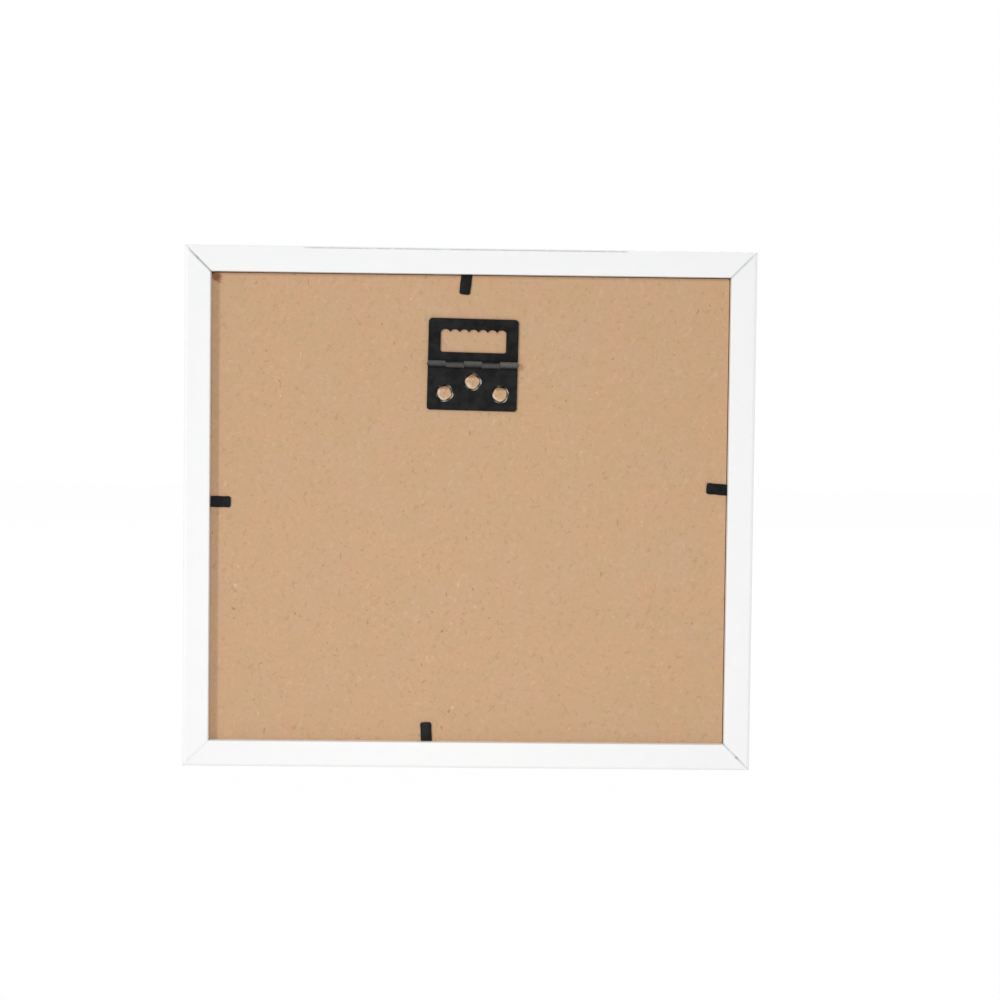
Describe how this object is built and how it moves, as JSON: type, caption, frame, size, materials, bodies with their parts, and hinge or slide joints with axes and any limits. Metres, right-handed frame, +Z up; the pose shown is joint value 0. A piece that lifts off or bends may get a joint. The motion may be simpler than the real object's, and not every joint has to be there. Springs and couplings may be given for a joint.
{
  "type": "wall photo frame",
  "caption": "Slim white wall photo frame with mitred rails, clear front sheet, fibreboard back held by bendable tabs, and a hinged saw-tooth hanger.",
  "frame": {"origin": "middle of the frame's underside", "axes": "+Z up, +X to the right as seen from the wall side, -Y towards the wall and +Y towards the viewer of the picture"},
  "size_m": [0.2816, 0.0154, 0.2571],
  "materials": {
    "white_foil": "fibreboard moulding wrapped in satin white foil",
    "bright_steel": "bare steel strip",
    "clear_sheet": "clear, polished",
    "insert_paper": "plain uncoated card",
    "fibreboard": "bare fibreboard with fine flecks",
    "black_steel": "thin satin black coating on sheet steel"
  },
  "bodies": {
    "frame": {"rail_top": "white_foil", "rail_right": "white_foil", "rail_bottom": "white_foil", "rail_left": "white_foil", "corner_nail_top_right": "bright_steel", "corner_nail_bottom_right": "bright_steel", "corner_nail_bottom_left": "bright_steel", "corner_nail_top_left": "bright_steel", "glazing": "clear_sheet", "photo_insert": "insert_paper", "back_board": "fibreboard", "tab_shank_top": "black_steel", "tab_shank_right": "black_steel", "tab_shank_bottom": "black_steel", "tab_shank_left": "black_steel", "hanger_plate": "black_steel", "hinge_pin": "black_steel"},
    "loop": {"hanger_loop": "black_steel"},
    "top_tab": {"retaining_tab_top": "black_steel"},
    "right_tab": {"retaining_tab_right": "black_steel"},
    "bottom_tab": {"retaining_tab_bottom": "black_steel"},
    "left_tab": {"retaining_tab_left": "black_steel"}
  },
  "joints": [
    {"name": "loop_hinge", "type": "hinge", "parent": "frame", "child": "loop", "pos_m": [0.001, -0.0046, 0.19995], "axis": [0.9999, 0, -0.0157], "range_deg": [0, 180]},
    {"name": "top_tab_bend", "type": "hinge", "parent": "frame", "child": "top_tab", "pos_m": [-0.0024, -0.0031, 0.2439], "axis": [-1, 0, 0], "range_deg": [0, 90]},
    {"name": "right_tab_bend", "type": "hinge", "parent": "frame", "child": "right_tab", "pos_m": [0.1276, -0.0031, 0.13935], "axis": [0, 0, 1], "range_deg": [0, 90]},
    {"name": "bottom_tab_bend", "type": "hinge", "parent": "frame", "child": "bottom_tab", "pos_m": [-0.02, -0.0031, 0.0132], "axis": [1, 0, 0], "range_deg": [0, 90]},
    {"name": "left_tab_bend", "type": "hinge", "parent": "frame", "child": "left_tab", "pos_m": [-0.1276, -0.0031, 0.13095], "axis": [0, 0, -1], "range_deg": [0, 90]}
  ]
}
